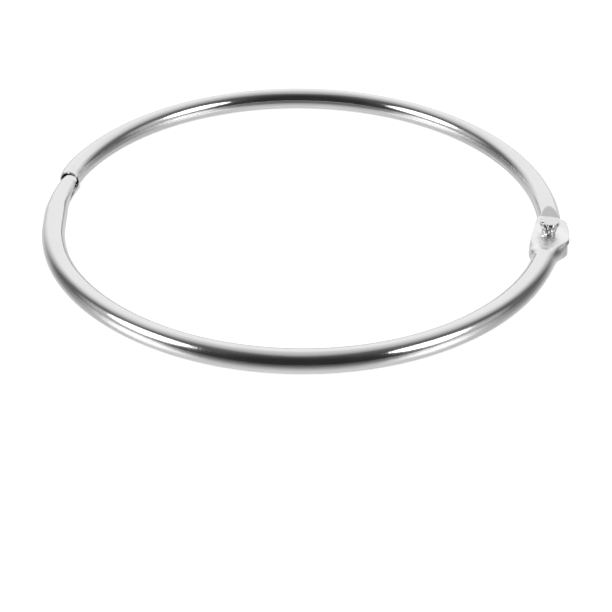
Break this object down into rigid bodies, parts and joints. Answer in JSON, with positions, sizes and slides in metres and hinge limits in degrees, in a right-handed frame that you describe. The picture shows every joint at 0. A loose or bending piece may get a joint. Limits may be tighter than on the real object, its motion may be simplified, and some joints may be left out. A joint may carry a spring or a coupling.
{
  "type": "binder ring",
  "caption": "Hinged metal binder ring: rolled tube halves joined by a rivet hinge and closed by a tapered nose that snaps into a socket.",
  "frame": {"origin": "centre of the closed ring, on the mid-plane of its tube", "axes": "+Z along the hinge's axis, towards the rivet's tall head; +X from the centre to the rivet; +Y towards the half with the socket"},
  "size_m": [0.0844, 0.0832, 0.0055],
  "materials": {
    "half_rings": "polished nickel plate",
    "rivet": "bright nickel plate"
  },
  "bodies": {
    "fork_half": {"fork_half_ring": "half_rings", "hinge_rivet": "rivet"},
    "socket_half": {"socket_half_ring": "half_rings"}
  },
  "joints": [
    {"name": "hinge", "type": "hinge", "parent": "fork_half", "child": "socket_half", "pos_m": [0.0395, 0, 0], "axis": [0, 0, -1], "range_deg": [0, 90]}
  ]
}
